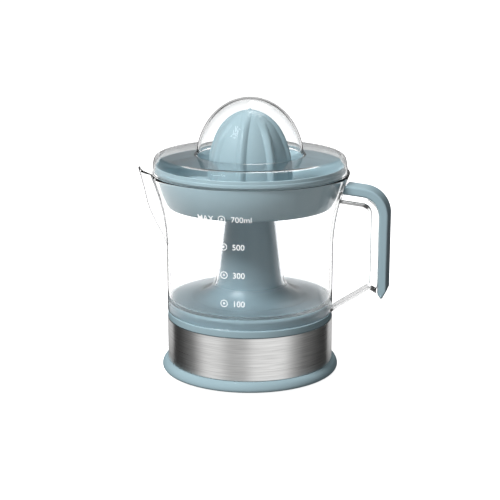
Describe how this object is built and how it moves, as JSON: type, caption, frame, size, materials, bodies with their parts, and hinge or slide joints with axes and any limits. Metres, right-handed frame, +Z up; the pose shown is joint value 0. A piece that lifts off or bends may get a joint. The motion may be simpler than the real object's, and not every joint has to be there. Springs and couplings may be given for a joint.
{
  "type": "citrus press juicer",
  "caption": "Electric citrus press: round motor base with a clear spouted jug and handle, juice bowl with strainer, ribbed turning cone and clear domed cover.",
  "frame": {"origin": "on the drive spindle's axis, on the flat pad under the base; the rubber feet reach 1.5 mm lower", "axes": "+Z up along the spindle, +X towards the handle, -X towards the spout"},
  "size_m": [0.1904, 0.1474, 0.2052],
  "materials": {
    "blue_grey_plastic": "satin moulded plastic",
    "clear_plastic": "clear polished plastic",
    "brushed_steel": "fine lines round the band",
    "dark_plastic": "matte",
    "black_plastic": "matte",
    "red_plastic": "satin",
    "black_rubber": "matte",
    "plain_steel": "bright",
    "zinc_plated_steel": "zinc plated",
    "sintered_bronze": "matte",
    "brass": "turned",
    "white_acetal": "satin",
    "natural_nylon": "satin",
    "enamelled_copper": "enamelled wire",
    "silicon_steel": "stacked sheets",
    "ferrite_magnet": "matte"
  },
  "bodies": {
    "base": {"bottom_cover": "dark_plastic", "coil_bobbin_left": "natural_nylon", "coil_bobbin_right": "natural_nylon", "column_bushing": "sintered_bronze", "cord_inlet_bush": "black_rubber", "cover_screw_1": "plain_steel", "cover_screw_2": "plain_steel", "cover_screw_3": "plain_steel", "cover_screw_4": "plain_steel", "foot_ring": "blue_grey_plastic", "gear_plate": "zinc_plated_steel", "gear_plate_screw_1": "plain_steel", "gear_plate_screw_2": "plain_steel", "gear_plate_screw_3": "plain_steel", "idler_pin": "plain_steel", "motor_coil_left": "enamelled_copper", "motor_coil_right": "enamelled_copper", "motor_housing": "blue_grey_plastic", "motor_stator": "silicon_steel", "return_spring": "plain_steel", "rotor_bridge": "natural_nylon", "rubber_foot_1": "black_rubber", "rubber_foot_2": "black_rubber", "rubber_foot_3": "black_rubber", "rubber_foot_4": "black_rubber", "shaft_seal": "black_rubber", "spindle_guide": "dark_plastic", "start_switch": "black_plastic", "stator_screw_1": "plain_steel", "stator_screw_2": "plain_steel", "stator_spacer_1": "brass", "stator_spacer_2": "brass", "steel_band": "brushed_steel"},
    "rotor": {"rotor_magnet": "ferrite_magnet", "rotor_shaft": "plain_steel", "rotor_pinion": "natural_nylon"},
    "idler": {"idler_gear": "white_acetal"},
    "output": {"output_gear": "white_acetal"},
    "press": {"thrust_cup": "white_acetal"},
    "spindle": {"drive_spindle": "plain_steel"},
    "plunger": {"switch_plunger": "red_plastic"},
    "jug": {"jug": "clear_plastic", "handle_strap": "clear_plastic", "handle_grip": "blue_grey_plastic"},
    "bowl": {"juice_bowl": "blue_grey_plastic"},
    "strainer": {"pulp_strainer": "blue_grey_plastic"},
    "hub": {"drive_hub": "white_acetal"},
    "cone": {"reamer_cone": "blue_grey_plastic"},
    "cover": {"dust_cover": "clear_plastic"}
  },
  "joints": [
    {"name": "rotor_spin", "type": "hinge", "parent": "base", "child": "rotor", "pos_m": [0, 0.027, 0.02], "axis": [0, 0, 1], "continuous": true},
    {"name": "idler_spin", "type": "hinge", "parent": "base", "child": "idler", "pos_m": [0.02538, 0.0178, 0.04], "axis": [0, 0, 1], "continuous": true},
    {"name": "output_spin", "type": "hinge", "parent": "base", "child": "output", "pos_m": [0, 0, 0.04], "axis": [0, 0, 1], "continuous": true},
    {"name": "press_slide", "type": "slide", "parent": "base", "child": "press", "axis": [0, 0, 1], "range_m": [-0.003, 0], "stiffness_N_per_m": 1500, "springref_m": 0.003, "deforming": ["return_spring"]},
    {"name": "spindle_spin", "type": "hinge", "parent": "press", "child": "spindle", "pos_m": [0, 0, 0.09], "axis": [0, 0, 1], "continuous": true},
    {"name": "plunger_slide", "type": "slide", "parent": "base", "child": "plunger", "axis": [0, 0, 1], "range_m": [-0.003, 0]},
    {"name": "jug_lift", "type": "slide", "parent": "base", "child": "jug", "axis": [0, 0, 1], "range_m": [0, 0.12]},
    {"name": "bowl_lift", "type": "slide", "parent": "jug", "child": "bowl", "axis": [0, 0, 1], "range_m": [0, 0.05]},
    {"name": "strainer_lift", "type": "slide", "parent": "bowl", "child": "strainer", "axis": [0, 0, 1], "range_m": [0, 0.004]},
    {"name": "hub_spin", "type": "hinge", "parent": "strainer", "child": "hub", "pos_m": [0, 0, 0.15], "axis": [0, 0, 1], "continuous": true},
    {"name": "cone_press", "type": "slide", "parent": "hub", "child": "cone", "axis": [0, 0, 1], "range_m": [-0.003, 0]},
    {"name": "cover_lift", "type": "slide", "parent": "bowl", "child": "cover", "axis": [0, 0, 1], "range_m": [0, 0.07]}
  ],
  "couplings": [
    {"joint": "idler_spin", "follows": "rotor_spin", "ratio": -0.22727},
    {"joint": "output_spin", "follows": "rotor_spin", "ratio": 0.043706},
    {"joint": "spindle_spin", "follows": "rotor_spin", "ratio": 0.043706},
    {"joint": "hub_spin", "follows": "rotor_spin", "ratio": 0.043706},
    {"joint": "plunger_slide", "follows": "press_slide", "ratio": 1},
    {"joint": "cone_press", "follows": "press_slide", "ratio": 1}
  ]
}
